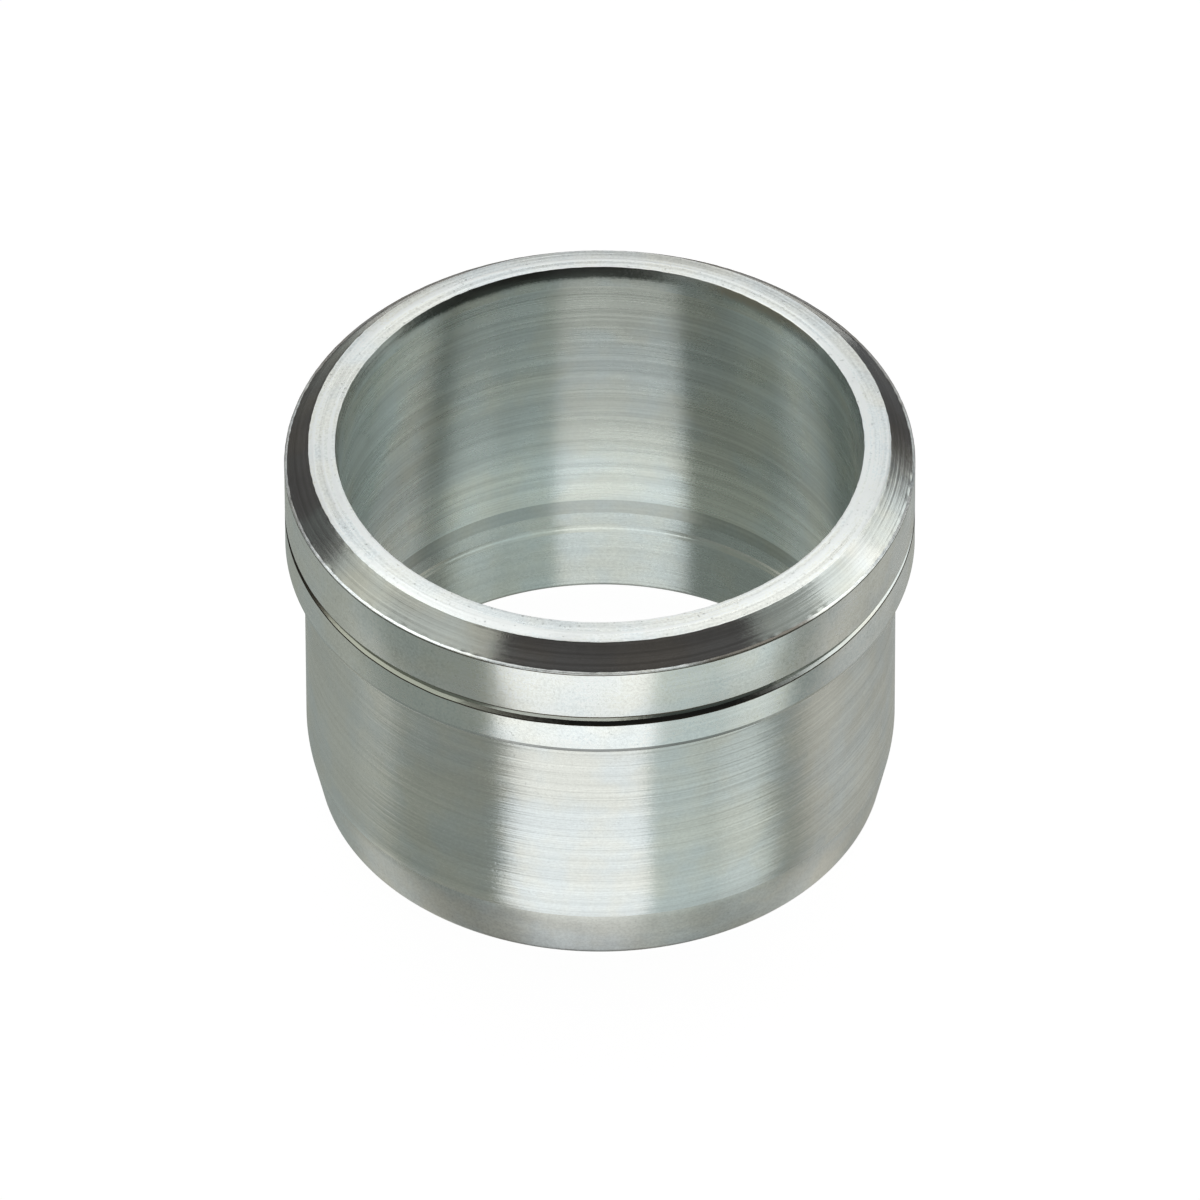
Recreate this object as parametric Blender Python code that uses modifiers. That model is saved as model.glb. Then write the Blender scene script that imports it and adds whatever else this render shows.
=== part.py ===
"""Compression olive for 8 mm tube: a cutting ring, turned from one piece of steel and zinc plated.

The ring stands on its nose. Its axis is +Z and the middle of the nose rim is the origin.
All sizes are in metres and all angles in radians.
"""

import math

import bpy
from mathutils import Vector

NAME = "compression_olive"
NODE = "olive"

# Tube and bore
TUBE_DIAMETER = 0.00800
TUBE_CLEARANCE = 0.00005
MOUTH_FLARE = 0.00005
MOUTH_DEPTH = 0.00012

# Outside, from the face down to the nose
RING_LENGTH = 0.00675
FACE_WIDTH = 0.00042
CHAMFER_ANGLE = math.radians(45)
COLLAR_LENGTH = 0.00200
COLLAR_STEP = 0.00030
BODY_WALL = 0.00055
NOSE_LENGTH = 0.00101
NOSE_ANGLE = math.radians(12)

# Groove round the collar, measured down from the face
GROOVE_PLACE = 0.00126
GROOVE_WIDTH = 0.00018
GROOVE_DEPTH = 0.00007
GROOVE_UPPER_DROP = 0.00001
GROOVE_FLANK_ANGLE = math.radians(45)

# Inner cutting edge in the bore, measured up from the nose rim, and the cone that leads to it from above
CUTTING_EDGE_PLACE = 0.00138
CUTTING_EDGE_HEIGHT = 0.00002
CUTTING_EDGE_BACK = 0.00004
CUTTING_CONE_RISE = 0.00055

# Radii of the rounded edges
FACE_EDGE_ROUND = 0.00006
CHAMFER_EDGE_ROUND = 0.00003
GROOVE_ROOT_ROUND = 0.00001
COLLAR_EDGE_ROUND = 0.00006
SHOULDER_ROOT_ROUND = 0.00012
NOSE_START_ROUND = 0.00190
NOSE_TIP_ROUND = 0.00015
NOSE_RIM_ROUND = 0.00013
CUTTING_CONE_ROUND = 0.00200
MOUTH_ROUND = 0.00015
SHARP = 0.0

# Fineness of the turned surface
STEPS_ROUND = 96
CHORD_ERROR = 0.000002
FEWEST_ARC_STEPS = 2
SETBACK_SHARE = 0.45

PLATED_STEEL_COLOUR = (0.80, 0.82, 0.81, 1.0)
PLATED_STEEL_ROUGHNESS = 0.30


def outside_corners():
    """Corners of the section down the outside, each a radius, a height and an edge radius."""
    bore = TUBE_DIAMETER / 2 + TUBE_CLEARANCE
    face = bore + MOUTH_FLARE + FACE_WIDTH
    body = bore + BODY_WALL
    collar = body + COLLAR_STEP
    chamfer_foot = RING_LENGTH - (collar - face) * math.tan(CHAMFER_ANGLE)
    groove_top = RING_LENGTH - GROOVE_PLACE
    groove_low = groove_top - GROOVE_WIDTH
    groove_root = collar - GROOVE_DEPTH
    shoulder = RING_LENGTH - COLLAR_LENGTH
    tip = body - NOSE_LENGTH * math.tan(NOSE_ANGLE)
    return [
        (face, RING_LENGTH, FACE_EDGE_ROUND),
        (collar, chamfer_foot, CHAMFER_EDGE_ROUND),
        (collar, groove_top, SHARP),
        (groove_root, groove_top - GROOVE_UPPER_DROP, GROOVE_ROOT_ROUND),
        (groove_root, groove_low + GROOVE_DEPTH / math.tan(GROOVE_FLANK_ANGLE), GROOVE_ROOT_ROUND),
        (collar, groove_low, SHARP),
        (collar, shoulder, COLLAR_EDGE_ROUND),
        (body, shoulder, SHOULDER_ROOT_ROUND),
        (body, NOSE_LENGTH, NOSE_START_ROUND),
        (tip, 0.0, NOSE_TIP_ROUND),
    ]


def inside_corners():
    """Corners of the section up the bore, from the nose rim to the mouth."""
    bore = TUBE_DIAMETER / 2 + TUBE_CLEARANCE
    return [
        (bore, 0.0, NOSE_RIM_ROUND),
        (bore, CUTTING_EDGE_PLACE - CUTTING_EDGE_BACK, SHARP),
        (bore - CUTTING_EDGE_HEIGHT, CUTTING_EDGE_PLACE, SHARP),
        (bore, CUTTING_EDGE_PLACE + CUTTING_CONE_RISE, CUTTING_CONE_ROUND),
        (bore, RING_LENGTH - MOUTH_DEPTH, MOUTH_ROUND),
        (bore + MOUTH_FLARE, RING_LENGTH, SHARP),
    ]


def rounded_corner(before, corner, after, radius):
    """Points of the arc that rounds a corner, limited to less than half of each side beside it."""
    back = before - corner
    ahead = after - corner
    turn = math.pi - back.angle(ahead)
    setback = min(radius * math.tan(turn / 2), SETBACK_SHARE * min(back.length, ahead.length))
    radius = setback / math.tan(turn / 2)
    step = 2 * math.acos(max(0.0, 1 - CHORD_ERROR / radius))
    steps = max(FEWEST_ARC_STEPS, math.ceil(turn / step))
    start = corner + back.normalized() * setback
    centre_way = (back.normalized() + ahead.normalized()).normalized()
    centre = corner + centre_way * math.hypot(radius, setback)
    spoke = start - centre
    side = math.copysign(1.0, spoke.cross(corner - start))
    points = []
    for index in range(steps + 1):
        angle = side * turn * index / steps
        cosine = math.cos(angle)
        sine = math.sin(angle)
        points.append(centre + Vector((
            spoke.x * cosine - spoke.y * sine,
            spoke.x * sine + spoke.y * cosine,
        )))
    return points


def section_points():
    """The whole section as one closed loop of points, with its edges rounded."""
    corners = outside_corners() + inside_corners()
    places = [Vector((radius, height)) for radius, height, edge in corners]
    points = []
    for index, place in enumerate(places):
        edge = corners[index][2]
        if edge == SHARP:
            points.append(place)
            continue
        following = places[(index + 1) % len(places)]
        points += rounded_corner(places[index - 1], place, following, edge)
    return points


def plated_steel():
    """Bright zinc plating over turned steel."""
    material = bpy.data.materials.new("plated_steel")
    material.use_nodes = True
    shader = material.node_tree.nodes["Principled BSDF"]
    shader.inputs["Base Color"].default_value = PLATED_STEEL_COLOUR
    shader.inputs["Metallic"].default_value = 1.0
    shader.inputs["Roughness"].default_value = PLATED_STEEL_ROUGHNESS
    material.diffuse_color = PLATED_STEEL_COLOUR
    return material


def turned_ring():
    """The section at +X, turned once round Z."""
    points = section_points()
    mesh = bpy.data.meshes.new(NODE)
    edges = [(index, (index + 1) % len(points)) for index in range(len(points))]
    mesh.from_pydata([(point.x, 0.0, point.y) for point in points], edges, [])
    ring = bpy.data.objects.new(NODE, mesh)
    ring.data.materials.append(plated_steel())
    turning = ring.modifiers.new("turning", "SCREW")
    turning.axis = "Z"
    turning.angle = math.tau
    turning.steps = STEPS_ROUND
    turning.render_steps = STEPS_ROUND
    turning.use_smooth_shade = True
    shading = ring.modifiers.new("crisp edges", "WEIGHTED_NORMAL")
    shading.keep_sharp = True
    return ring


def main():
    """Clear the scene and build the ring in a collection of its own."""
    for old in list(bpy.data.objects):
        bpy.data.objects.remove(old, do_unlink=True)
    collection = bpy.data.collections.new(NAME)
    bpy.context.scene.collection.children.link(collection)
    collection.objects.link(turned_ring())


main()
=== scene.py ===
"""Compression olive for 8 mm tube, finely turned and zinc plated, on a pale studio floor.

The olive stands on its nose with its axis along +Z, in metres, in the frame of the solid model.
Azimuths are seen from above and counted from the side that faces the camera, to the right.
"""

import math

import bpy
import numpy as np
from mathutils import Matrix, Vector


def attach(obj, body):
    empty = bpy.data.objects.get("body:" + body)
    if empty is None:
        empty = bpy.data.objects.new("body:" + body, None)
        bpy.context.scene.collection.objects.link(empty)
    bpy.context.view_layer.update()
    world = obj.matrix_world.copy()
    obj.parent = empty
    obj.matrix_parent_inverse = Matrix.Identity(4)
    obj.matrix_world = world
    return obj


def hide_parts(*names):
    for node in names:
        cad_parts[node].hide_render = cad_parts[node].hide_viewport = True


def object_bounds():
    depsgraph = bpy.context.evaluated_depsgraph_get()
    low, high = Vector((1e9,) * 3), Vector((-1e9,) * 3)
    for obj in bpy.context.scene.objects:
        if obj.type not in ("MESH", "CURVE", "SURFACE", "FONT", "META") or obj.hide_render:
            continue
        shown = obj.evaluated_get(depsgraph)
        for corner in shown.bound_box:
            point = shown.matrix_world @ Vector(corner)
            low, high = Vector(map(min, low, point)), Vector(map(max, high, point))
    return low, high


bl_info = {
    "name": "Compression olive",
    "version": (1, 0, 0),
    "blender": (4, 5, 0),
    "location": "3D View > Sidebar > Olive",
    "description": "Zinc plated cutting ring for 8 mm tube, with its studio",
    "category": "Object",
}

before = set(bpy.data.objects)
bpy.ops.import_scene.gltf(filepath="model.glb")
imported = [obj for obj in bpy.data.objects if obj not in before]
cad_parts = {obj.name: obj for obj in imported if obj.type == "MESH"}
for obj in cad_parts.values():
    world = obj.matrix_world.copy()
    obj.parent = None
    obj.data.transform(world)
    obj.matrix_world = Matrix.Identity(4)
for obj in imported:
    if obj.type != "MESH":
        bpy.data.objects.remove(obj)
CAD_LOW, CAD_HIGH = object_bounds()

NODE = "olive"
PIECE = "turned_ring"
MILLIMETRE = 0.001
MICROMETRE = 0.000001

# Small forms of the outside, down from the face
FACE_EDGE_DROP = 0.000032
FACE_FOOT_REACH = 0.000030
CHAMFER_FOOT_SETBACK = 0.000080
CHAMFER_FOOT_RISE = 0.000031
LEDGE_SETBACK = 0.000048
LEDGE_RISE = 0.000024
CREST_SETBACK = 0.000003
CREST_DROP = 0.000008
CREST_FOOT_SETBACK = 0.000003
CREST_FOOT_DROP = 0.000022
WALL_SETBACK = 0.000006
WALL_START_DROP = 0.000020
GROOVE_ROOT_DROP = 0.000010
# Painted shade: the dark band at the top of the groove's root reaches this far below the groove's depth
GROOVE_SHADE_DROP = 0.000008
GROOVE_FLANK_SHARE = 0.60
GROOVE_LIP_SETBACK = 0.000010
GROOVE_LIP_RISE = 0.000006
GROOVE_LIP_DROP = 0.000010
GROOVE_NARROWING = 0.40
GROOVE_SHALLOWING = 0.30
SHOULDER_START_RISE = 0.000072

# Small forms of the bore: below the cutting edge, on its cone, and at the mouth
EDGE_LINE_FOOT_DROP = 0.000180
EDGE_LINE_MIDDLE_DROP = 0.000110
EDGE_LINE_MIDDLE_REACH = 0.000008
EDGE_LINE_TOP_DROP = 0.000080
EDGE_LINE_TOP_REACH = 0.000006
CONE_MIDDLE_SHARE = 0.5
MOUTH_START_DROP = 0.000360
MOUTH_DEPTH = 0.000200
MOUTH_DEPTH_LOSS = 0.000090

# Uneven edges: size either way, seed, fewest waves round the ring, and the number that they stay below
FACE_EDGE_WAVES = (0.000006, 3, 8, 170)
MOUTH_EDGE_WAVES = (0.000006, 4, 8, 120)
MOUTH_DEPTH_WAVES = (0.000012, 9, 5, 60)
LEDGE_WAVES = (0.000009, 6, 20, 170)
CREST_WAVES = (0.000003, 7, 20, 170)
GROOVE_TOP_WAVES = (0.000004, 5, 2, 60)
GROOVE_LOW_WAVES = (0.000004, 8, 2, 60)

# Rounded edges: radius of the arc, and the number of its points
SHARP = (0.0, 1)
FACE_EDGE_ROUND = (0.000012, 5)
FACE_FOOT_ROUND = (0.000020, 3)
CHAMFER_FOOT_ROUND = (0.000020, 3)
LEDGE_ROUND = (0.000006, 3)
CREST_ROUND = (0.000010, 5)
CREST_FOOT_ROUND = (0.000004, 3)
WALL_START_ROUND = (0.000006, 4)
GROOVE_TOP_ROUND = (0.000006, 4)
GROOVE_ROOT_ROUND = (0.000006, 3)
GROOVE_FLANK_ROUND = (0.000010, 4)
GROOVE_LIP_ROUND = (0.000004, 3)
GROOVE_LOW_ROUND = (0.000004, 4)
SHOULDER_ROUND = (0.000070, 8)
SHOULDER_ROOT_ROUND = (0.000120, 5)
NOSE_START_ROUND = (0.001900, 12)
NOSE_TIP_ROUND = (0.000150, 8)
NOSE_RIM_ROUND = (0.000130, 8)
EDGE_LINE_FOOT_ROUND = (0.000400, 5)
EDGE_LINE_ROUND = (0.000030, 4)
CUTTING_EDGE_ROUND = (0.000008, 4)
CONE_MIDDLE_ROUND = (0.000800, 5)
CONE_TOP_ROUND = (0.000800, 7)
MOUTH_FOOT_ROUND = (0.000300, 9)
MOUTH_EDGE_ROUND = (0.000008, 4)

# Most of a side that a rounding may take, and the angle from which an edge is shaded sharp
SETBACK_SHARE = 0.45
CREASE_ANGLE = math.radians(30)

# Patches on one side of the ring: azimuth of the middle, and width
# Painted shade: the dark crescent at the back of the mouth, in place of a dark reflection; the mouth is
# also less deep under it
MOUTH_SHADE_PATCH = (math.radians(196), math.radians(32))
MOUTH_RUST_PATCH = (math.radians(140), math.radians(15))
# Painted shade: the groove darkened towards the camera's side, where its metal reflects dark
GROOVE_SHADE_PATCH = (math.radians(21), math.radians(16))
GROOVE_RIGHT_NARROW_PATCH = (math.radians(68), math.radians(22))
GROOVE_LEFT_NARROW_PATCH = (math.radians(-74), math.radians(22))
# Painted shade on the lip towards the camera's side
LIP_SHADE_PATCH = (math.radians(30), math.radians(14))
# Painted shade: the groove's flank darkened towards the camera's side
FLANK_SHADE_PATCH = (math.radians(12), math.radians(24))
# Painted shade: a dark spot on the groove's flank on the left, where its metal reflects dark
FLANK_SHADE_SPOT_PATCH = (math.radians(-74), math.radians(16))
FLANK_DULL_PATCH = (math.radians(-42), math.radians(40))
# Painted shade: a dark line at the collar's lower edge, towards the camera's side
SHOULDER_SHADE_PATCH = (math.radians(7), math.radians(27))

# Stains and painted shade: their colours, and how they cover a place up to their ragged edges
# Painted shade: near black, for the groove and its flank towards the camera's side
FRONT_SHADE_COLOUR = Vector((0.055, 0.062, 0.058))
# Painted shade of the dark crescent in the mouth
SHADE_COLOUR = Vector((0.105, 0.112, 0.106))
RUST_COLOUR = Vector((0.56, 0.51, 0.43))
DULL_COLOUR = Vector((0.67, 0.67, 0.60))
# Painted shade: how much of the zinc's colour the dark line under the collar keeps
SHOULDER_SHADE_GAIN = 0.40
MARK_FULL_SHARE = 0.6
MARK_END_SHARE = 1.2
MARK_COVER = 0.92
MARK_GRAIN = 0.7
MARK_SHIFT = -0.85

# Feet of the painted shade and of the rust stain at the mouth, as height less radius in millimetres, and
# how ragged they are
MOUTH_SHADE_FOOT = 2.55
MOUTH_RUST_FOOT = 2.60
MARK_FOOT_RISE = 0.10
MARK_FOOT_CLOUD = 0.10
MARK_FOOT_GRAIN = 0.08

# Painted light and shade down a zone: top and foot in millimetres, and the gain at the foot. The nose is
# darker near the floor as painted shade, and the lower bore lighter as painted light
NOSE_PAINTED_SHADE = (0.15, 0.04, 0.70)
BORE_PAINTED_LIGHT = (3.6, 2.4, 1.24)

# Blotches of the plating: size in millimetres, detail, and shift of the seed
CLOUD = (0.9, 4.0, 0.0)
GRAIN = (0.045, 2.0, 1.7)
PIT = (0.05, 0.0, 5.1)
BLOTCH = (1.4, 3.0, 8.3)

# Roughness of the blotches, the way that a seed moves them, and the seed's step from zone to zone
BLOTCH_ROUGHNESS = 0.6
SEED_WAY = (1.0, 0.7, 0.3)
SEED_STEP = 11.0

# Turning lines: the ring's radius in millimetres, and the wide lines by factors of the fine ones
LINE_RADIUS = 4.6
LINE_DETAIL = 1.0
LINE_ROUGHNESS = 0.5
WIDE_LINE_PITCH = 2.8
WIDE_LINE_LENGTH = 1.5
WIDE_LINE_HEIGHT = 1.2
WIDE_LINE_SHIFT = 3

# What the noises do to the plating's relief, tone, tint and roughness
GRAIN_HEIGHT = 0.15
PIT_HEIGHT = -1.0
PIT_DARKNESS = 0.5
PIT_RANGE = (0.76, 0.82)
BLOTCH_RANGE = (0.38, 0.62)
NOISE_RANGE = (0.3, 0.7)
ROUGHNESS_SWING = 0.02
BLUISH = Vector((0.97, 0.995, 1.02))
YELLOWISH = Vector((1.02, 1.0, 0.96))

# Sockets of the mix node when it mixes colours
MIX_SHARE = 0
MIX_FIRST = 6
MIX_SECOND = 7
MIX_RESULT = 2

# Camera, with its aim counted from the middle of the face
CAMERA_ELEVATION = math.radians(42.52)
CAMERA_ROLL = math.radians(0.19)
CAMERA_DISTANCE = 0.410
CAMERA_FOCAL_LENGTH = 793.7
CAMERA_NEAR = 0.01
CAMERA_FAR = 10.0
AIM_RIGHT = 0.0000045
AIM_UP = -0.0024293

# Floor and softbox
FLOOR_REACH = 0.6
FLOOR_GLOW = 0.97
FLOOR_MATT = 0.2
SOFTBOX_AZIMUTH = math.radians(180)
SOFTBOX_ELEVATION = math.radians(70)
SOFTBOX_DISTANCE = 0.5
SOFTBOX_WIDTH = 0.5
SOFTBOX_LEVEL = 0.8
SOFTBOX_AIM_HEIGHT = 0.004

# Light tent: panels by name with azimuths and elevations in degrees, and the colour of their light
TENT_RADIUS = 0.50
LINING_RADIUS = 0.52
PANEL_STEP = math.radians(6)
ALL_ROUND = (-180, 180)
POLE_TO_POLE = (-90, 90)
PANELS = (
    ("front_steep_panel", (-37, 19), (-70, -52), (0.86, 0.90, 0.88)),
    ("front_low_panel", (-37, 19), (-52, -30), (0.93, 0.97, 0.95)),
    ("front_shallow_panel", (-37, 19), (-30, -10), (1.38, 1.44, 1.41)),
    ("front_level_panel", (-37, 20), (-10, 10), (0.40, 0.39, 0.38)),
    ("grey_steep_panel", (19, 47), (-70, -52), (0.44, 0.49, 0.46)),
    ("grey_low_panel", (19, 47), (-52, -10), (0.57, 0.65, 0.62)),
    ("light_steep_panel", (47, 69), (-70, -52), (0.32, 0.34, 0.31)),
    ("light_low_panel", (47, 69), (-52, -10), (0.70, 0.77, 0.73)),
    ("dark_right_low_panel", (69, 83), (-52, -10), (0.21, 0.24, 0.22)),
    ("right_low_panel", (83, 166), (-52, -30), (0.37, 0.38, 0.35)),
    ("right_low_back_panel", (166, 180), (-52, -40), (0.34, 0.34, 0.33)),
    ("right_rim_panel", (166, 180), (-40, -24), (0.74, 0.74, 0.70)),
    ("right_steep_near_panel", (69, 105), (-70, -52), (0.24, 0.25, 0.22)),
    ("right_steep_panel", (105, 180), (-70, -52), (0.70, 0.70, 0.64)),
    ("right_shallow_panel", (83, 140), (-30, -10), (0.45, 0.48, 0.48)),
    ("right_shallow_back_panel", (140, 166), (-30, -10), (0.10, 0.10, 0.10)),
    ("dark_left_low_panel", (-92, -37), (-52, -10), (0.22, 0.25, 0.22)),
    ("left_steep_near_panel", (-105, -37), (-70, -52), (0.24, 0.25, 0.23)),
    ("left_steep_panel", (-180, -105), (-70, -52), (0.72, 0.72, 0.66)),
    ("left_low_panel", (-168, -92), (-52, -22), (0.34, 0.37, 0.34)),
    ("left_low_back_panel", (-180, -168), (-52, -40), (0.46, 0.46, 0.44)),
    ("left_rim_panel", (-180, -168), (-40, -24), (0.74, 0.74, 0.70)),
    ("left_shallow_panel", (-168, -92), (-22, -10), (0.10, 0.10, 0.09)),
    ("bottom_panel", (-180, 180), (-90, -70), (0.22, 0.22, 0.21)),
    ("left_mid_near_panel", (-80, -40), (-10, 30), (0.10, 0.10, 0.09)),
    ("left_mid_panel", (-118, -80), (-10, 17), (0.11, 0.12, 0.11)),
    ("left_rise_panel", (-103, -80), (17, 30), (0.46, 0.48, 0.43)),
    ("left_high_back_panel", (-118, -80), (30, 50), (0.66, 0.69, 0.62)),
    ("left_high_panel", (-80, -40), (30, 50), (0.52, 0.54, 0.49)),
    ("left_top_panel", (-120, -60), (50, 70), (0.64, 0.70, 0.64)),
    ("right_glint_panel", (98, 108), (12, 30), (1.22, 1.24, 1.19)),
    ("right_low_edge_panel", (84, 109), (-10, 12), (0.93, 0.97, 0.91)),
    ("right_near_panel", (84, 98), (12, 50), (0.93, 0.97, 0.91)),
    ("right_far_panel", (98, 109), (30, 50), (0.93, 0.97, 0.91)),
    ("right_top_panel", (84, 137), (50, 61), (0.90, 0.94, 0.88)),
    ("right_back_panel", (109, 137), (10, 50), (0.97, 1.02, 0.97)),
    ("right_front_panel", (60, 84), (10, 50), (0.28, 0.30, 0.27)),
    ("back_low_panel", (156, 204), (10, 30), (0.16, 0.15, 0.14)),
    ("back_panel", (156, 204), (30, 50), (0.84, 0.88, 0.87)),
    ("back_top_panel", (120, 240), (50, 70), (1.32, 1.37, 1.35)),
    ("top_panel", (-180, 180), (70, 90), (0.10, 0.10, 0.09)),
)


class OliveSizes(bpy.types.PropertyGroup):
    """Sizes of the turned section."""

    length: bpy.props.FloatProperty(
        name="Length", description="From the nose rim to the face",
        default=CAD_HIGH.z - CAD_LOW.z, min=0.001, unit="LENGTH", precision=5,
    )
    collar_diameter: bpy.props.FloatProperty(
        name="Collar diameter", description="Widest part of the olive",
        default=CAD_HIGH.x - CAD_LOW.x, min=0.001, unit="LENGTH", precision=5,
    )
    bore_diameter: bpy.props.FloatProperty(
        name="Bore diameter", description="Tube diameter and its clearance",
        default=0.00810, min=0.001, unit="LENGTH", precision=5,
    )
    body_diameter: bpy.props.FloatProperty(
        name="Body diameter", description="Plain part below the collar",
        default=0.00920, min=0.001, unit="LENGTH", precision=5,
    )
    face_diameter: bpy.props.FloatProperty(
        name="Face diameter", description="Outside of the flat face",
        default=0.00904, min=0.001, unit="LENGTH", precision=5,
    )
    mouth_diameter: bpy.props.FloatProperty(
        name="Mouth diameter", description="Widest part of the lead-in",
        default=0.00820, min=0.001, unit="LENGTH", precision=5,
    )
    collar_length: bpy.props.FloatProperty(
        name="Collar length", description="From the face to the shoulder",
        default=0.00200, min=0.0001, unit="LENGTH", precision=5,
    )
    nose_length: bpy.props.FloatProperty(
        name="Nose length", description="Height of the tapered nose",
        default=0.00101, min=0.0001, unit="LENGTH", precision=5,
    )
    nose_angle: bpy.props.FloatProperty(
        name="Nose angle", description="Taper of the nose on each side",
        default=math.radians(12), min=0.0, max=math.radians(45), subtype="ANGLE",
    )
    groove_place: bpy.props.FloatProperty(
        name="Groove place", description="From the face down to the groove",
        default=0.00126, min=0.0001, unit="LENGTH", precision=5,
    )
    groove_width: bpy.props.FloatProperty(
        name="Groove width", description="Height of the groove round the collar",
        default=0.00018, min=0.0, unit="LENGTH", precision=5,
    )
    groove_depth: bpy.props.FloatProperty(
        name="Groove depth", description="Depth of the groove round the collar",
        default=0.00007, min=0.0, unit="LENGTH", precision=5,
    )
    cutting_edge_place: bpy.props.FloatProperty(
        name="Cutting edge place", description="From the nose rim up to the cutting edge",
        default=0.00138, min=0.0001, unit="LENGTH", precision=5,
    )
    cutting_edge_height: bpy.props.FloatProperty(
        name="Cutting edge height", description="How far the edge stands into the bore",
        default=0.00002, min=0.0, unit="LENGTH", precision=5,
    )
    cutting_cone_rise: bpy.props.FloatProperty(
        name="Cutting cone rise", description="Height of the cone that leads to the edge from above",
        default=0.00050, min=0.0001, unit="LENGTH", precision=5,
    )
    steps_round: bpy.props.IntProperty(
        name="Steps round", description="Facets round the axis",
        default=720, min=24, max=1440,
    )


class OliveFinish(bpy.types.PropertyGroup):
    """Colours and grain of the zinc plating, with one dark colour that is painted shade."""

    zinc: bpy.props.FloatVectorProperty(
        name="Zinc", description="Bright plating",
        default=(0.82, 0.825, 0.82), size=3, min=0.0, max=1.0, subtype="COLOR",
    )
    bore_zinc: bpy.props.FloatVectorProperty(
        name="Bore zinc", description="Greener plating in the bore",
        default=(0.75, 0.785, 0.765), size=3, min=0.0, max=1.0, subtype="COLOR",
    )
    groove_zinc: bpy.props.FloatVectorProperty(
        name="Groove zinc", description="Yellow-green plating in the groove",
        default=(0.80, 0.80, 0.72), size=3, min=0.0, max=1.0, subtype="COLOR",
    )
    # Painted shade: this dark colour stands in for the shadow under the lip's crest, at the top of the
    # groove and at its lower lip, and on patches of the lip and the flank
    scale: bpy.props.FloatVectorProperty(
        name="Scale", description="Dark scale in corners and burrs",
        default=(0.12, 0.10, 0.08), size=3, min=0.0, max=1.0, subtype="COLOR",
    )
    grain_turn: bpy.props.FloatProperty(
        name="Grain turn", description="Turn of the stretched highlights, in whole turns",
        default=0.25, min=0.0, max=1.0,
    )


class OliveStudio(bpy.types.PropertyGroup):
    """Floor, background, light tent and softbox."""

    floor_colour: bpy.props.FloatVectorProperty(
        name="Floor", description="Pale floor",
        default=(0.90, 0.90, 0.90), size=3, min=0.0, max=1.0, subtype="COLOR",
    )
    background: bpy.props.FloatVectorProperty(
        name="Background", description="What shows beyond the floor",
        default=(1.0, 1.0, 1.0), size=3, min=0.0, max=1.0, subtype="COLOR",
    )
    lining: bpy.props.FloatVectorProperty(
        name="Lining", description="Dark cloth of the light tent between its panels",
        default=(0.064, 0.060, 0.057), size=3, min=0.0, max=1.0, subtype="COLOR",
    )
    light_level: bpy.props.FloatProperty(
        name="Light level", description="Brightness of the tent and the softbox together",
        default=1.0, min=0.0, max=10.0,
    )


# Turned section


class Corner:
    """A corner of the section: its radius, height and rounding, and the zone that follows it.

    The radius and height are numbers where the ring is even, or else arrays by azimuth.
    """

    def __init__(self, radius, height, rounding, zone):
        self.radius = radius
        self.height = height
        self.rounding = rounding
        self.zone = zone


def unevenness(azimuths, size, seed, fewest, limit):
    """A closed wavering line of the given size, made of waves from the fewest to below a limit."""
    chance = np.random.default_rng(seed)
    line = np.zeros_like(azimuths)
    for waves in range(fewest, limit):
        line += chance.normal() * np.sin(waves * azimuths + chance.uniform(0, math.tau))
    return size * line / np.abs(line).max()


def hump(azimuths, middle, width):
    """A smooth hump round the ring, one at its middle and nothing far from it."""
    turn = np.angle(np.exp(1j * (azimuths - middle)))
    return np.exp(-(turn / width) ** 2)


def toward(azimuth, elevation):
    """Unit vector from the olive, by azimuth from the camera's side and elevation."""
    flat = math.cos(elevation)
    return Vector((math.sin(azimuth) * flat, -math.cos(azimuth) * flat, math.sin(elevation)))


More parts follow.
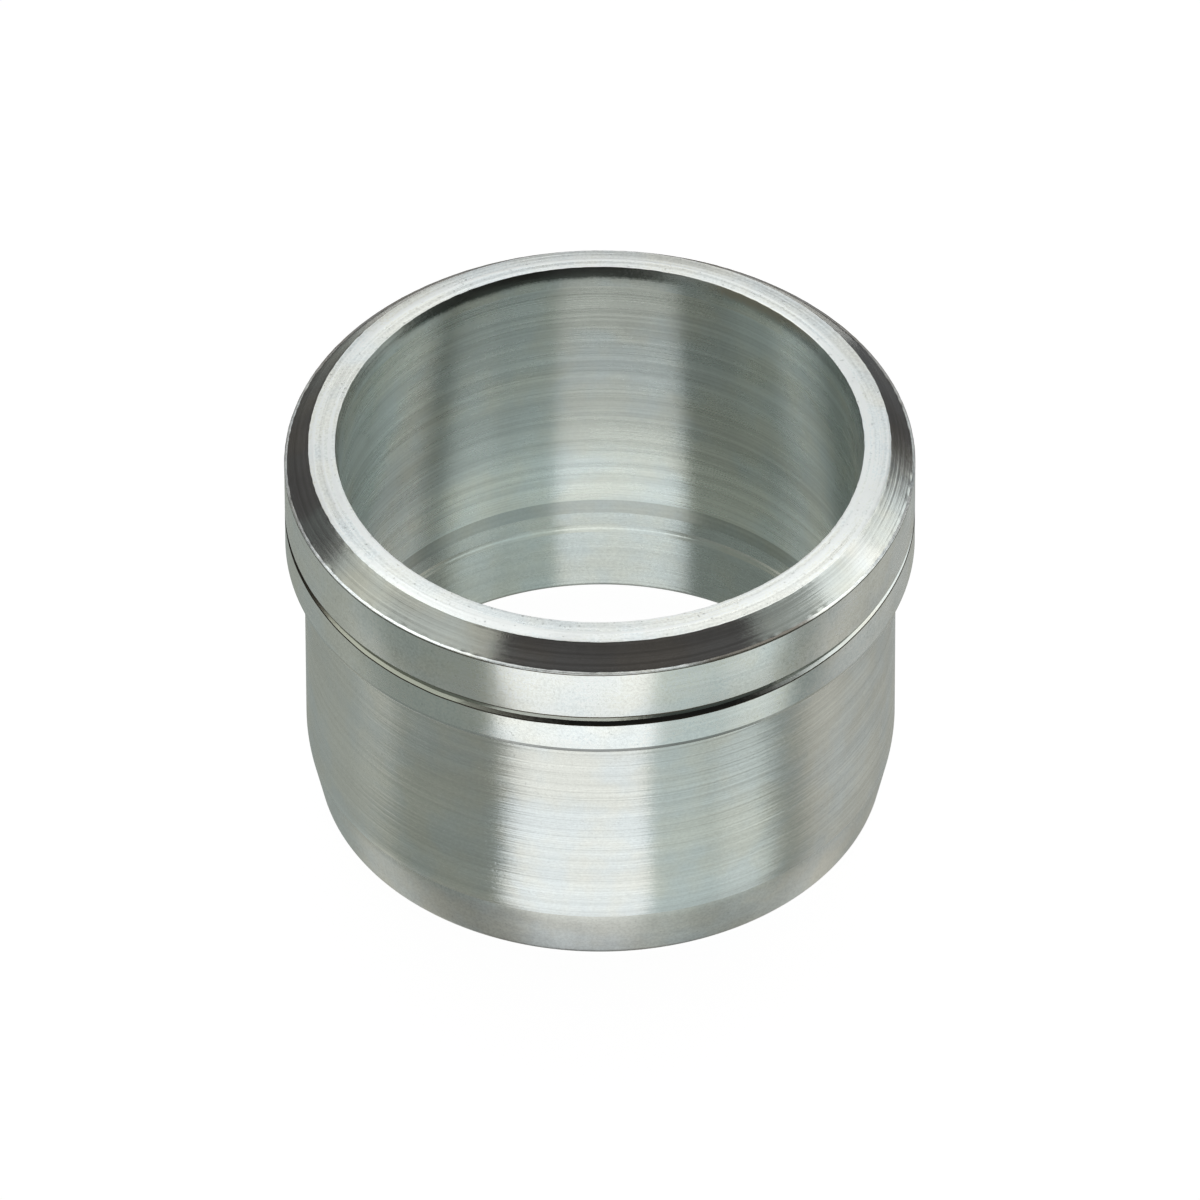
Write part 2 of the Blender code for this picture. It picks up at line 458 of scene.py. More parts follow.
def outside_corners(sizes, azimuths):
    """Corners of the section, from the face down the outside to the nose."""
    top = sizes.length
    collar = sizes.collar_diameter / 2
    wall = collar - WALL_SETBACK
    body = sizes.body_diameter / 2
    face = sizes.face_diameter / 2
    face_edge = face + unevenness(azimuths, *FACE_EDGE_WAVES)
    face_foot = face + FACE_FOOT_REACH
    face_low = top - FACE_EDGE_DROP
    ledge = collar - LEDGE_SETBACK + unevenness(azimuths, *LEDGE_WAVES)
    ledge_top = top - (collar - face) + LEDGE_RISE
    crest = collar - CREST_SETBACK + unevenness(azimuths, *CREST_WAVES)
    crest_low = ledge_top - CREST_FOOT_DROP
    narrowing = np.maximum(
        hump(azimuths, *GROOVE_RIGHT_NARROW_PATCH),
        hump(azimuths, *GROOVE_LEFT_NARROW_PATCH),
    )
    groove_top = top - sizes.groove_place + unevenness(azimuths, *GROOVE_TOP_WAVES)
    groove_width = sizes.groove_width * (1 - GROOVE_NARROWING * narrowing)
    groove_depth = sizes.groove_depth * (1 - GROOVE_SHALLOWING * narrowing)
    groove_low = groove_top - groove_width + unevenness(azimuths, *GROOVE_LOW_WAVES)
    groove_root = collar - groove_depth
    groove_flank = groove_low + groove_depth * GROOVE_FLANK_SHARE
    shoulder = top - sizes.collar_length
    tip = body - sizes.nose_length * math.tan(sizes.nose_angle)
    return [
        Corner(face_edge, face_low, FACE_EDGE_ROUND, "chamfer"),
        Corner(face_foot, face_low - (face_foot - face), FACE_FOOT_ROUND, "chamfer"),
        Corner(collar - CHAMFER_FOOT_SETBACK, ledge_top + CHAMFER_FOOT_RISE, CHAMFER_FOOT_ROUND, "chamfer"),
        Corner(ledge, ledge_top, LEDGE_ROUND, "lip"),
        Corner(crest, ledge_top - CREST_DROP, CREST_ROUND, "lip"),
        # The dark zones below are painted shade: lines under the crest, at the top of the groove's root and
        # at its lower lip
        Corner(crest - CREST_FOOT_SETBACK, crest_low, CREST_FOOT_ROUND, "scale"),
        Corner(wall, crest_low - WALL_START_DROP, WALL_START_ROUND, "collar"),
        Corner(wall, groove_top, GROOVE_TOP_ROUND, "scale"),
        Corner(groove_root, groove_top - GROOVE_ROOT_DROP, GROOVE_ROOT_ROUND, "scale"),
        Corner(groove_root, groove_top - groove_depth - GROOVE_SHADE_DROP, SHARP, "groove"),
        Corner(groove_root, groove_flank, GROOVE_FLANK_ROUND, "flank"),
        Corner(wall - GROOVE_LIP_SETBACK, groove_low + GROOVE_LIP_RISE, GROOVE_LIP_ROUND, "scale"),
        Corner(wall, groove_low - GROOVE_LIP_DROP, GROOVE_LOW_ROUND, "collar"),
        Corner(wall, shoulder + SHOULDER_START_RISE, SHARP, "shoulder"),
        Corner(wall, shoulder, SHOULDER_ROUND, "shoulder"),
        Corner(body, shoulder, SHOULDER_ROOT_ROUND, "body"),
        Corner(body, sizes.nose_length, NOSE_START_ROUND, "nose"),
        Corner(tip, 0.0, NOSE_TIP_ROUND, "nose"),
    ]


def inside_corners(sizes, azimuths):
    """Corners of the section, from the nose rim up the bore to the face."""
    top = sizes.length
    bore = sizes.bore_diameter / 2
    edge = sizes.cutting_edge_place
    edge_radius = bore - sizes.cutting_edge_height
    cone_middle = edge + sizes.cutting_cone_rise * CONE_MIDDLE_SHARE
    mouth_edge = sizes.mouth_diameter / 2 + unevenness(azimuths, *MOUTH_EDGE_WAVES)
    # The mouth is less deep where its painted shade lies
    shaded = hump(azimuths, *MOUTH_SHADE_PATCH)
    mouth_depth = MOUTH_DEPTH - MOUTH_DEPTH_LOSS * shaded + unevenness(azimuths, *MOUTH_DEPTH_WAVES)
    return [
        Corner(bore, 0.0, NOSE_RIM_ROUND, "land"),
        Corner(bore, edge - EDGE_LINE_FOOT_DROP, EDGE_LINE_FOOT_ROUND, "edge_line"),
        Corner(bore - EDGE_LINE_MIDDLE_REACH, edge - EDGE_LINE_MIDDLE_DROP, EDGE_LINE_ROUND, "edge_line"),
        Corner(bore - EDGE_LINE_TOP_REACH, edge - EDGE_LINE_TOP_DROP, EDGE_LINE_ROUND, "edge_line"),
        Corner(edge_radius, edge, CUTTING_EDGE_ROUND, "land"),
        Corner(edge_radius, cone_middle, CONE_MIDDLE_ROUND, "cone"),
        Corner(bore, edge + sizes.cutting_cone_rise, CONE_TOP_ROUND, "bore"),
        Corner(bore, top - MOUTH_START_DROP, SHARP, "mouth"),
        Corner(bore, top - mouth_depth, MOUTH_FOOT_ROUND, "mouth"),
        Corner(mouth_edge, top, MOUTH_EDGE_ROUND, "face"),
    ]


def rounded_corner(before, corner, after, radius, count):
    """The arc that rounds a corner, at every azimuth at once."""
    back = before - corner
    ahead = after - corner
    back_length = np.linalg.norm(back, axis=1, keepdims=True)
    ahead_length = np.linalg.norm(ahead, axis=1, keepdims=True)
    back = back / back_length
    ahead = ahead / ahead_length
    turn = math.pi - np.arccos(np.clip((back * ahead).sum(axis=1, keepdims=True), -1, 1))
    reach = np.minimum(back_length, ahead_length) * SETBACK_SHARE
    setback = np.minimum(radius * np.tan(turn / 2), reach)
    radius = setback / np.tan(turn / 2)
    way = back + ahead
    way = way / np.linalg.norm(way, axis=1, keepdims=True)
    centre = corner + way * np.hypot(radius, setback)
    start = corner + back * setback
    spoke = start - centre
    side = spoke[:, :1] * (corner - start)[:, 1:] - spoke[:, 1:] * (corner - start)[:, :1]
    arc = []
    for index in range(count):
        angle = np.sign(side) * turn * index / (count - 1)
        cosine = np.cos(angle)
        sine = np.sin(angle)
        arc.append(centre + np.hstack((
            spoke[:, :1] * cosine - spoke[:, 1:] * sine,
            spoke[:, :1] * sine + spoke[:, 1:] * cosine,
        )))
    return arc


def section_rings(sizes, azimuths):
    """Rings of the turned surface, each radius and height by azimuth, and the zone after each."""
    corners = outside_corners(sizes, azimuths) + inside_corners(sizes, azimuths)
    places = [
        np.stack(np.broadcast_arrays(corner.radius, corner.height, azimuths)[:2], axis=1)
        for corner in corners
    ]
    rings = []
    zones = []
    for index, corner in enumerate(corners):
        following = places[(index + 1) % len(places)]
        arc = [places[index]]
        if corner.rounding != SHARP:
            arc = rounded_corner(places[index - 1], places[index], following, *corner.rounding)
        half = len(arc) // 2
        rings += arc
        zones += [corners[index - 1].zone] * half
        zones += [corner.zone] * (len(arc) - half)
    return rings, zones


def turned_points(rings, azimuths):
    """Points of the rings, which start at the camera's side and go to the right."""
    return np.concatenate([
        np.stack((ring[:, 0] * np.sin(azimuths), -ring[:, 0] * np.cos(azimuths), ring[:, 1]), axis=1)
        for ring in rings
    ])


def turned_faces(ring_count, step_count):
    """Faces between each ring and the next one, and between the last and the first."""
    faces = []
    for ring in range(ring_count):
        following = (ring + 1) % ring_count
        for step in range(step_count):
            beside = (step + 1) % step_count
            faces.append((
                ring * step_count + step, following * step_count + step,
                following * step_count + beside, ring * step_count + beside,
            ))
    return faces


# Materials


def link_value(tree, socket, value):
    """Sets a socket to a number or a colour, or joins it to another socket."""
    if isinstance(value, bpy.types.NodeSocket):
        tree.links.new(value, socket)
    elif isinstance(value, (tuple, list)) and len(value) == 3 and len(socket.default_value) == 4:
        socket.default_value = (*value, 1.0)
    else:
        socket.default_value = value


def add_node(tree, kind, inputs=(), **settings):
    """A new node with its settings, and its inputs by name or number."""
    made = tree.nodes.new(kind)
    for name, value in settings.items():
        setattr(made, name, value)
    for name, value in dict(inputs).items():
        link_value(tree, made.inputs[name], value)
    return made


def math_node(tree, operation, *values):
    """The result of one operation on numbers or sockets."""
    made = add_node(tree, "ShaderNodeMath", dict(enumerate(values)), operation=operation)
    return made.outputs[0]


def scaled(tree, vector, factor):
    """A vector or colour times a factor."""
    made = add_node(tree, "ShaderNodeVectorMath", {0: vector, "Scale": factor}, operation="SCALE")
    return made.outputs[0]


def ranged(tree, value, limits, low, high):
    """A value taken smoothly from between two limits to a range from low to high."""
    start, end = limits
    inputs = {"Value": value, "From Min": start, "From Max": end, "To Min": low, "To Max": high}
    return add_node(tree, "ShaderNodeMapRange", inputs, interpolation_type="SMOOTHSTEP").outputs[0]


def swing(tree, value, amount):
    """A factor round one that follows a noise by the given amount."""
    return ranged(tree, value, NOISE_RANGE, 1 - amount, 1 + amount)


def mixed(tree, share, first, second):
    """Two colours mixed by a share."""
    colours = {MIX_SHARE: share, MIX_FIRST: first, MIX_SECOND: second}
    return add_node(tree, "ShaderNodeMix", colours, data_type="RGBA").outputs[MIX_RESULT]


def turned_coordinates(tree):
    """Place on the surface in millimetres, and its cosine, sine and height less radius round the axis."""
    place = scaled(tree, add_node(tree, "ShaderNodeTexCoord").outputs["Object"], 1 / MILLIMETRE)
    x, y, z = add_node(tree, "ShaderNodeSeparateXYZ", {0: place}).outputs
    squares = math_node(tree, "ADD", math_node(tree, "MULTIPLY", x, x), math_node(tree, "MULTIPLY", y, y))
    radius = math_node(tree, "SQRT", squares)
    across = math_node(tree, "SUBTRACT", z, radius)
    cosine = math_node(tree, "DIVIDE", x, radius)
    sine = math_node(tree, "DIVIDE", y, radius)
    return place, (cosine, sine, across)


def turning_lines(tree, turned, pitch, length, seed):
    """Fine lines that run round the axis, by their pitch and length in millimetres."""
    cosine, sine, across = turned
    reach = LINE_RADIUS / length
    stretched = add_node(tree, "ShaderNodeCombineXYZ", {
        0: math_node(tree, "MULTIPLY_ADD", cosine, reach, seed),
        1: math_node(tree, "MULTIPLY", sine, reach),
        2: math_node(tree, "MULTIPLY", across, 1 / pitch),
    })
    inputs = {
        "Vector": stretched.outputs[0], "Scale": 1.0,
        "Detail": LINE_DETAIL, "Roughness": LINE_ROUGHNESS,
    }
    return add_node(tree, "ShaderNodeTexNoise", inputs).outputs[0]


def blotches(tree, place, seed, size, detail, shift):
    """Soft blotches by their size in millimetres, where the seed and its shift take them."""
    way = tuple((seed + shift) * share for share in SEED_WAY)
    moved = add_node(tree, "ShaderNodeVectorMath", {0: place, 1: way}, operation="ADD")
    inputs = {
        "Vector": moved.outputs[0], "Scale": 1 / size,
        "Detail": detail, "Roughness": BLOTCH_ROUGHNESS,
    }
    return add_node(tree, "ShaderNodeTexNoise", inputs).outputs[0]


class StainOrShade:
    """A stain or a painted shade on one patch of a zone, above a foot if it has one."""

    def __init__(self, patch, colour, foot=None):
        self.azimuth, self.width = patch
        self.colour = colour
        self.foot = foot


class Zone:
    """How one zone of the ring is finished.

    Its turning lines have a pitch and a length in millimetres and a depth in micrometres. The tones say
    how much the lines, clouds and grain lighten and darken it. The gain changes its whole colour: it is
    painted light or shade, which makes lit and shaded copies of one colour. A painted fade lightens or
    darkens it down the zone, and its stains and shades include painted shade.
    """

    def __init__(
        self, colour, roughness, stretch, pitch, length, depth,
        line_tone, cloud_tone, grain_tone, pits, light_gain=1.0, stains_and_shades=(), fade=None,
    ):
        self.colour = colour * light_gain
        self.roughness = roughness
        self.stretch = stretch
        self.pitch = pitch
        self.length = length
        self.depth = depth
        self.line_tone = line_tone
        self.cloud_tone = cloud_tone
        self.grain_tone = grain_tone
        self.pits = pits
        self.stains_and_shades = stains_and_shades
        self.fade = fade


class PlatingNoise:
    """The noises that the colour, roughness and relief of a zone share."""

    def __init__(self, tree, zone, seed):
        self.place, self.turned = turned_coordinates(tree)
        self.lines = turning_lines(tree, self.turned, zone.pitch, zone.length, seed)
        wide_pitch = zone.pitch * WIDE_LINE_PITCH
        wide_length = zone.length * WIDE_LINE_LENGTH
        self.wide_lines = turning_lines(tree, self.turned, wide_pitch, wide_length, seed + WIDE_LINE_SHIFT)
        self.cloud = blotches(tree, self.place, seed, *CLOUD)
        self.grain = blotches(tree, self.place, seed, *GRAIN)
        self.pit = ranged(tree, blotches(tree, self.place, seed, *PIT), PIT_RANGE, 0.0, zone.pits)
        self.blotch = ranged(tree, blotches(tree, self.place, seed, *BLOTCH), BLOTCH_RANGE, 0.0, 1.0)


def mark_share(tree, noise, mark):
    """How much of a stain or painted shade covers a place: most at its azimuth, with a ragged edge."""
    cosine, sine, across = noise.turned
    middle = toward(mark.azimuth, 0.0)
    facing = math_node(tree, "MULTIPLY_ADD", cosine, middle.x, math_node(tree, "MULTIPLY", sine, middle.y))
    outside = math.cos(mark.width * MARK_END_SHARE)
    inside = math.cos(mark.width * MARK_FULL_SHARE)
    reach = inside - outside
    ragged = math_node(tree, "MULTIPLY_ADD", noise.grain, reach * MARK_GRAIN, MARK_SHIFT * reach)
    ragged = math_node(tree, "MULTIPLY_ADD", noise.cloud, reach, ragged)
    share = ranged(tree, math_node(tree, "ADD", facing, ragged), (outside, inside), 0.0, MARK_COVER)
    if mark.foot is None:
        return share
    height = math_node(tree, "MULTIPLY_ADD", noise.grain, MARK_FOOT_GRAIN, across)
    height = math_node(tree, "MULTIPLY_ADD", noise.cloud, MARK_FOOT_CLOUD, height)
    above = ranged(tree, height, (mark.foot, mark.foot + MARK_FOOT_RISE), 0.0, 1.0)
    return math_node(tree, "MULTIPLY", share, above)


def plating_tone(tree, noise, zone):
    """How light the plating is at a place, as a factor round one, with any painted light or shade of its
    fade.
    """
    factors = [
        swing(tree, noise.wide_lines, zone.line_tone),
        swing(tree, noise.cloud, zone.cloud_tone),
        swing(tree, noise.grain, zone.grain_tone),
        math_node(tree, "SUBTRACT", 1.0, math_node(tree, "MULTIPLY", noise.pit, PIT_DARKNESS)),
    ]
    # Painted light or shade that changes the tone down the zone
    if zone.fade is not None:
        top, foot, light_gain = zone.fade
        height = add_node(tree, "ShaderNodeSeparateXYZ", {0: noise.place}).outputs["Z"]
        factors.append(ranged(tree, height, (foot, top), light_gain, 1.0))
    tone = swing(tree, noise.lines, zone.line_tone)
    for factor in factors:
        tone = math_node(tree, "MULTIPLY", tone, factor)
    return tone


def plating_colour(tree, noise, zone):
    """Colour of the plating with its tints, its tone, its stains and its painted shade."""
    bluish = (zone.colour * BLUISH).to_tuple()
    yellowish = (zone.colour * YELLOWISH).to_tuple()
    colour = scaled(tree, mixed(tree, noise.blotch, bluish, yellowish), plating_tone(tree, noise, zone))
    for mark in zone.stains_and_shades:
        colour = mixed(tree, mark_share(tree, noise, mark), colour, mark.colour.to_tuple())
    return colour


def plating_roughness(tree, noise, zone):
    """Roughness of the plating, which changes with its clouds and lines."""
    smoothest = zone.roughness - ROUGHNESS_SWING
    roughest = zone.roughness + ROUGHNESS_SWING
    cloudy = ranged(tree, noise.cloud, NOISE_RANGE, smoothest, roughest)
    lined = ranged(tree, noise.lines, NOISE_RANGE, -ROUGHNESS_SWING, ROUGHNESS_SWING)
    return math_node(tree, "ADD", cloudy, lined)


def plating_relief(tree, noise, zone):
    """Surface direction with the turning lines, the grain and the pits."""
    height = math_node(tree, "MULTIPLY_ADD", noise.wide_lines, WIDE_LINE_HEIGHT, noise.lines)
    height = math_node(tree, "MULTIPLY_ADD", noise.grain, GRAIN_HEIGHT, height)
    height = math_node(tree, "MULTIPLY_ADD", noise.pit, PIT_HEIGHT, height)
    inputs = {"Strength": 1.0, "Distance": zone.depth * MICROMETRE, "Height": height}
    return add_node(tree, "ShaderNodeBump", inputs).outputs[0]


def zinc_material(name, zone, grain_turn, seed):
    """Zinc plating over turned steel."""
    material = bpy.data.materials.new(name)
    material.use_nodes = True
    tree = material.node_tree
    noise = PlatingNoise(tree, zone, seed)
    tangent = add_node(tree, "ShaderNodeTangent", direction_type="RADIAL", axis="Z")
    inputs = {
        "Base Color": plating_colour(tree, noise, zone),
        "Roughness": plating_roughness(tree, noise, zone),
        "Metallic": 1.0,
        "Anisotropic": zone.stretch,
        "Anisotropic Rotation": grain_turn,
        "Tangent": tangent.outputs[0],
        "Normal": plating_relief(tree, noise, zone),
    }
    shader = tree.nodes["Principled BSDF"]
    for socket, value in inputs.items():
        link_value(tree, shader.inputs[socket], value)
    return material


def outside_zones(finish):
    """The finish of the face and of every zone of the outside."""
    zinc = Vector(finish.zinc)
    groove = Vector(finish.groove_zinc)
    scale = Vector(finish.scale)
    return {
        # The gains are painted light and shade: lighter copies of the zinc on the face, lip, collar, flank
        # and body, and darker ones on the chamfer and in the groove
        "face": Zone(
            zinc, light_gain=1.18, roughness=0.30, stretch=0.8, pitch=0.055, length=3.5, depth=4.5,
            line_tone=0.10, cloud_tone=0.05, grain_tone=0.08, pits=0.4,
        ),
        "chamfer": Zone(
            zinc, light_gain=0.96, roughness=0.20, stretch=0.85, pitch=0.050, length=8.0, depth=2.8,
            line_tone=0.07, cloud_tone=0.03, grain_tone=0.02, pits=0.1,
        ),
        "lip": Zone(
            zinc, light_gain=1.20, roughness=0.24, stretch=0.3, pitch=0.030, length=1.0, depth=1.0,
            line_tone=0.10, cloud_tone=0.03, grain_tone=0.15, pits=0.5,
            # Painted shade on the front of the lip
            stains_and_shades=(StainOrShade(LIP_SHADE_PATCH, scale),),
        ),
        # Painted shade: a dark zone in place of the shadow in corners and under burrs
        "scale": Zone(
            scale, roughness=0.45, stretch=0.3, pitch=0.030, length=1.0, depth=1.0,
            line_tone=0.10, cloud_tone=0.03, grain_tone=0.10, pits=0.5,
        ),
        "collar": Zone(
            zinc, light_gain=1.19, roughness=0.25, stretch=0.95, pitch=0.045, length=3.0, depth=1.0,
            line_tone=0.01, cloud_tone=0.07, grain_tone=0.07, pits=0.3,
        ),
        "groove": Zone(
            groove, light_gain=0.62, roughness=0.26, stretch=0.9, pitch=0.030, length=1.0, depth=1.5,
            line_tone=0.05, cloud_tone=0.05, grain_tone=0.03, pits=0.3,
            # Painted shade on the groove towards the camera's side
            stains_and_shades=(StainOrShade(GROOVE_SHADE_PATCH, FRONT_SHADE_COLOUR),),
        ),
        "flank": Zone(
            zinc, light_gain=1.12, roughness=0.24, stretch=0.4, pitch=0.030, length=2.0, depth=1.0,
            line_tone=0.04, cloud_tone=0.05, grain_tone=0.03, pits=0.3,
            stains_and_shades=(
                StainOrShade(FLANK_DULL_PATCH, DULL_COLOUR),
                # Painted shade: a dark spot on the left
                StainOrShade(FLANK_SHADE_SPOT_PATCH, scale),
                # Painted shade on the flank towards the camera's side
                StainOrShade(FLANK_SHADE_PATCH, FRONT_SHADE_COLOUR),
            ),
        ),
        "shoulder": Zone(
            zinc, roughness=0.28, stretch=0.9, pitch=0.045, length=1.5, depth=0.8,
            line_tone=0.02, cloud_tone=0.04, grain_tone=0.04, pits=0.3,
            # Painted shade: a dark line under the collar towards the camera's side
            stains_and_shades=(StainOrShade(SHOULDER_SHADE_PATCH, zinc * SHOULDER_SHADE_GAIN),),
        ),
        "body": Zone(
            zinc, light_gain=1.09, roughness=0.22, stretch=1.0, pitch=0.036, length=5.0, depth=4.5,
            line_tone=0.04, cloud_tone=0.03, grain_tone=0.035, pits=0.1,
        ),
        # Painted shade: the nose darker towards the floor
        "nose": Zone(
            zinc, roughness=0.36, stretch=0.5, pitch=0.060, length=2.0, depth=0.8,
            line_tone=0.02, cloud_tone=0.07, grain_tone=0.08, pits=0.3, fade=NOSE_PAINTED_SHADE,
        ),
    }


def inside_zones(finish):
    """The finish of every zone of the bore, from the nose rim to the mouth."""
    zinc = Vector(finish.bore_zinc)
    return {
        # The gains below one are painted shade: darker copies of the bore's zinc on the land, the cone, the
        # bore and the mouth
        "land": Zone(
            zinc, light_gain=0.89, roughness=0.26, stretch=1.0, pitch=0.045, length=4.0, depth=2.5,
            line_tone=0.04, cloud_tone=0.06, grain_tone=0.05, pits=0.1,
        ),
        "edge_line": Zone(
            zinc, roughness=0.24, stretch=0.9, pitch=0.045, length=4.0, depth=2.0,
            line_tone=0.04, cloud_tone=0.05, grain_tone=0.04, pits=0.1,
        ),
        "cone": Zone(
            zinc, light_gain=0.76, roughness=0.33, stretch=0.9, pitch=0.045, length=5.0, depth=3.0,
            line_tone=0.05, cloud_tone=0.05, grain_tone=0.04, pits=0.1,
        ),
        # Painted light: the bore lighter towards its lower part
        "bore": Zone(
            zinc, light_gain=0.85, roughness=0.29, stretch=0.95, pitch=0.030, length=6.0, depth=3.2,
            line_tone=0.07, cloud_tone=0.03, grain_tone=0.03, pits=0.0, fade=BORE_PAINTED_LIGHT,
        ),
        "mouth": Zone(
            zinc, light_gain=0.85, roughness=0.29, stretch=0.95, pitch=0.030, length=6.0, depth=3.2,
            line_tone=0.06, cloud_tone=0.05, grain_tone=0.06, pits=0.1,
            stains_and_shades=(
                # Painted shade: the dark crescent at the back of the mouth
                StainOrShade(MOUTH_SHADE_PATCH, SHADE_COLOUR, MOUTH_SHADE_FOOT),
                StainOrShade(MOUTH_RUST_PATCH, RUST_COLOUR, MOUTH_RUST_FOOT),
            ),
        ),
    }


# Studio


def add_camera():
    """The camera at the pictured height, aimed a little below the middle of the face."""
    back = toward(0.0, CAMERA_ELEVATION)
    level_right = Vector((1.0, 0.0, 0.0))
    level_up = back.cross(level_right)
    right = level_right * math.cos(CAMERA_ROLL) - level_up * math.sin(CAMERA_ROLL)
    up = level_right * math.sin(CAMERA_ROLL) + level_up * math.cos(CAMERA_ROLL)
    data = bpy.data.cameras.new("camera")
    data.lens = CAMERA_FOCAL_LENGTH
    data.clip_start = CAMERA_NEAR
    data.clip_end = CAMERA_FAR
    camera = bpy.data.objects.new("camera", data)
    bpy.context.scene.collection.objects.link(camera)
    aim = Vector((0.0, 0.0, CAD_HIGH.z)) + right * AIM_RIGHT + up * AIM_UP
    place = Matrix((right, up, back)).transposed().to_4x4()
    place.translation = aim + back * CAMERA_DISTANCE
    camera.matrix_world = place
    bpy.context.scene.camera = camera


def add_softbox(level):
    """A square area lamp above and behind the olive, left out of the metal's reflections."""
    data = bpy.data.lights.new("overhead_softbox", "AREA")
    data.shape = "RECTANGLE"
    data.size = SOFTBOX_WIDTH
    data.size_y = SOFTBOX_WIDTH
    data.energy = SOFTBOX_LEVEL * level * math.pi * SOFTBOX_WIDTH * SOFTBOX_WIDTH
    lamp = bpy.data.objects.new("overhead_softbox", data)
    bpy.context.scene.collection.objects.link(lamp)
    way = toward(SOFTBOX_AZIMUTH, SOFTBOX_ELEVATION)
    lamp.location = Vector((0.0, 0.0, SOFTBOX_AIM_HEIGHT)) + way * SOFTBOX_DISTANCE
    lamp.rotation_mode = "QUATERNION"
    lamp.rotation_quaternion = way.to_track_quat("Z", "Y")
    lamp.visible_camera = False
    lamp.visible_glossy = False


def empty_material(name):
    """A material with nothing in its tree but an output, and that output's surface socket."""
    material = bpy.data.materials.new(name)
    material.use_nodes = True
    material.node_tree.nodes.clear()
    output = material.node_tree.nodes.new("ShaderNodeOutputMaterial")
    return material, output.inputs["Surface"]


def emission_material(name, colour, strength):
    """Plain light of one colour."""
    material, surface = empty_material(name)
    tree = material.node_tree
    glow = add_node(tree, "ShaderNodeEmission", {"Color": colour, "Strength": strength})
    tree.links.new(glow.outputs[0], surface)
    return material


def add_stage_mesh(name, points, faces, material):
    """A mesh that belongs to the studio."""
    mesh = bpy.data.meshes.new(name)
    mesh.from_pydata(points, [], faces)
    mesh.materials.append(material)
    made = bpy.data.objects.new(name, mesh)
    bpy.context.scene.collection.objects.link(made)
    return made


def shown_rays(tree):
    """One for camera, glossy and transmission rays, which show the white surroundings."""
    path = add_node(tree, "ShaderNodeLightPath")
    seen = math_node(tree, "MAXIMUM", path.outputs["Is Camera Ray"], path.outputs["Is Glossy Ray"])
    return math_node(tree, "MAXIMUM", seen, path.outputs["Is Transmission Ray"])


def floor_material(colour):
    """Pale floor: it glows white for the rays that show it, and its matt part takes the shadow."""
    material, surface = empty_material("pale_floor")
    tree = material.node_tree
    white = math_node(tree, "MULTIPLY", shown_rays(tree), FLOOR_GLOW)
    matt = add_node(tree, "ShaderNodeBsdfDiffuse", {"Color": tuple(part * FLOOR_MATT for part in colour)})
    glow = add_node(tree, "ShaderNodeEmission", {"Color": (1.0, 1.0, 1.0), "Strength": white})
    both = add_node(tree, "ShaderNodeAddShader", {0: matt.outputs[0], 1: glow.outputs[0]})
    tree.links.new(both.outputs[0], surface)
    return material


def add_floor(colour):
    """The floor, left out of the metal's reflections, where the tent takes its place."""
    corners = [(x * FLOOR_REACH, y * FLOOR_REACH, 0.0) for x, y in ((-1, -1), (1, -1), (1, 1), (-1, 1))]
    floor = add_stage_mesh("floor", corners, [(0, 1, 2, 3)], floor_material(colour))
    floor.visible_glossy = False


def add_panel(name, azimuths, elevations, colour, level, radius=TENT_RADIUS):
    """One panel of the tent, which shows only in the metal."""
    first, last = (math.radians(angle) for angle in azimuths)
    lowest, highest = (math.radians(angle) for angle in elevations)
    columns = math.ceil((last - first) / PANEL_STEP)
    rows = math.ceil((highest - lowest) / PANEL_STEP)
    points = []
    for row in range(rows + 1):
        elevation = lowest + (highest - lowest) * row / rows
        for column in range(columns + 1):
            azimuth = first + (last - first) * column / columns
            points.append(toward(azimuth, elevation) * radius)
    faces = []
    for row in range(rows):
        for column in range(columns):
            corner = row * (columns + 1) + column
            above = corner + columns + 1
            faces.append((corner, corner + 1, above + 1, above))
    panel = add_stage_mesh(name, points, faces, emission_material(name, colour, level))
    panel.location = (0.0, 0.0, CAD_HIGH.z / 2)
    panel.visible_camera = False
    panel.visible_diffuse = False
    panel.visible_shadow = False
    panel.visible_transmission = False


def add_world(studio):
    """White for the rays that show the surroundings, and the lining's dim light for the others."""
    world = bpy.data.worlds.new("studio")
    world.use_nodes = True
    tree = world.node_tree
    tree.nodes.clear()
    shown = add_node(tree, "ShaderNodeBackground", {"Color": tuple(studio.background), "Strength": 1.0})
    dim = add_node(tree, "ShaderNodeBackground", {"Color": tuple(studio.lining), "Strength": 1.0})
    either = add_node(
        tree, "ShaderNodeMixShader",
        {0: shown_rays(tree), 1: dim.outputs[0], 2: shown.outputs[0]},
    )
    output = tree.nodes.new("ShaderNodeOutputWorld")
    tree.links.new(either.outputs[0], output.inputs["Surface"])
    bpy.context.scene.world = world


# Operators


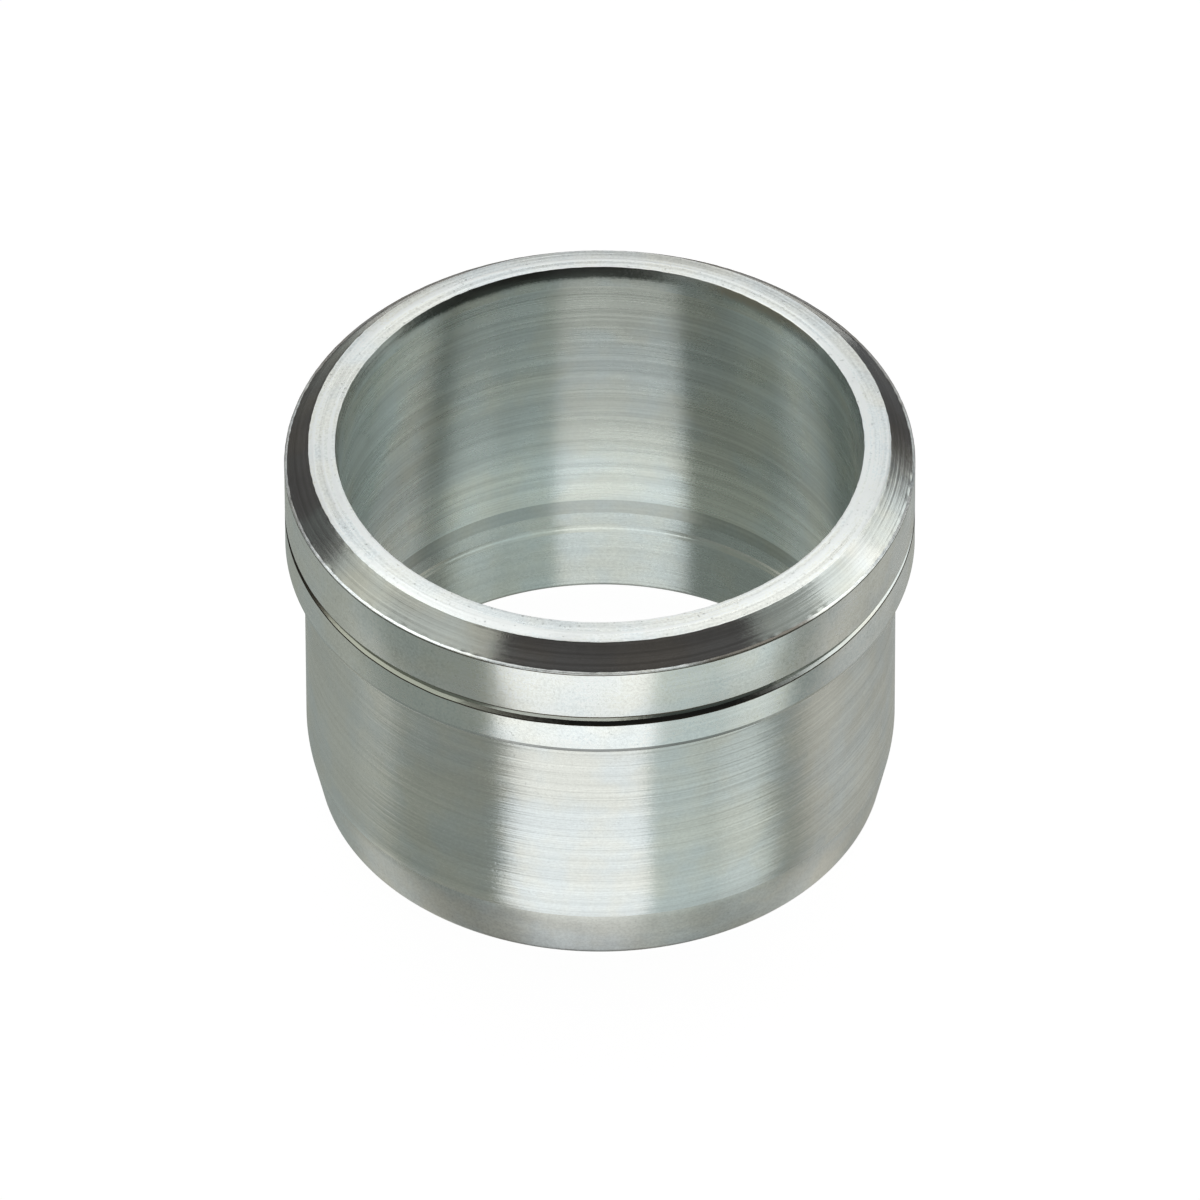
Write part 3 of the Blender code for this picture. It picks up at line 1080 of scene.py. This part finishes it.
class OLIVE_OT_make_ring(bpy.types.Operator):
    """Turn the olive and plate it"""

    bl_idname = "olive.make_ring"
    bl_label = "Make the olive"

    def execute(self, context):
        settings = context.scene.olive
        azimuths = np.linspace(0, math.tau, settings.sizes.steps_round, endpoint=False)
        rings, zones = section_rings(settings.sizes, azimuths)
        points = turned_points(rings, azimuths)
        faces = turned_faces(len(rings), len(azimuths))
        mesh = bpy.data.meshes.new(PIECE)
        mesh.from_pydata(points.tolist(), [], faces)
        finishes = outside_zones(settings.finish) | inside_zones(settings.finish)
        for number, (name, zone) in enumerate(finishes.items()):
            material = zinc_material("zinc_" + name, zone, settings.finish.grain_turn, number * SEED_STEP)
            mesh.materials.append(material)
        names = list(finishes)
        numbers = [names.index(zone) for zone in zones]
        mesh.polygons.foreach_set("material_index", np.repeat(numbers, len(azimuths)).tolist())
        mesh.polygons.foreach_set("use_smooth", [True] * len(faces))
        mesh.set_sharp_from_angle(angle=CREASE_ANGLE)
        mesh.update()
        ring = bpy.data.objects.new(PIECE, mesh)
        context.scene.collection.objects.link(ring)
        shading = ring.modifiers.new("crisp edges", "WEIGHTED_NORMAL")
        shading.keep_sharp = True
        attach(ring, "root")
        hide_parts(NODE)
        return {"FINISHED"}


class OLIVE_OT_make_studio(bpy.types.Operator):
    """Lay the floor, and set up the light tent, the softbox and the camera"""

    bl_idname = "olive.make_studio"
    bl_label = "Make the studio"

    def execute(self, context):
        studio = context.scene.olive.studio
        add_floor(tuple(studio.floor_colour))
        for name, azimuths, elevations, colour in PANELS:
            add_panel(name, azimuths, elevations, colour, studio.light_level)
        lining = tuple(studio.lining)
        add_panel("lining", ALL_ROUND, POLE_TO_POLE, lining, studio.light_level, LINING_RADIUS)
        add_world(studio)
        add_softbox(studio.light_level)
        add_camera()
        context.scene.view_settings.view_transform = "Standard"
        return {"FINISHED"}


class OliveSettings(bpy.types.PropertyGroup):
    """All that the panel shows."""

    sizes: bpy.props.PointerProperty(type=OliveSizes)
    finish: bpy.props.PointerProperty(type=OliveFinish)
    studio: bpy.props.PointerProperty(type=OliveStudio)


class OLIVE_PT_panel(bpy.types.Panel):
    """Sizes, finish and studio of the olive"""

    bl_idname = "OLIVE_PT_panel"
    bl_label = "Compression olive"
    bl_space_type = "VIEW_3D"
    bl_region_type = "UI"
    bl_category = "Olive"

    def draw(self, context):
        settings = context.scene.olive
        groups = {"Sizes": settings.sizes, "Finish": settings.finish, "Studio": settings.studio}
        for title, group in groups.items():
            box = self.layout.box()
            box.label(text=title)
            for name in group.bl_rna.properties.keys():
                if name not in ("rna_type", "name"):
                    box.prop(group, name)
        self.layout.operator(OLIVE_OT_make_ring.bl_idname)
        self.layout.operator(OLIVE_OT_make_studio.bl_idname)


CLASSES = (
    OliveSizes, OliveFinish, OliveStudio, OliveSettings,
    OLIVE_OT_make_ring, OLIVE_OT_make_studio, OLIVE_PT_panel,
)


def register():
    """Registers every class and the settings on the scene."""
    for kind in CLASSES:
        bpy.utils.register_class(kind)
    bpy.types.Scene.olive = bpy.props.PointerProperty(type=OliveSettings)


def unregister():
    """Takes the settings and the classes away again."""
    del bpy.types.Scene.olive
    for kind in reversed(CLASSES):
        bpy.utils.unregister_class(kind)


def main():
    """Registers the classes, and makes the olive and its studio."""
    register()
    bpy.ops.olive.make_ring()
    bpy.ops.olive.make_studio()


if __name__ == "__main__":
    main()
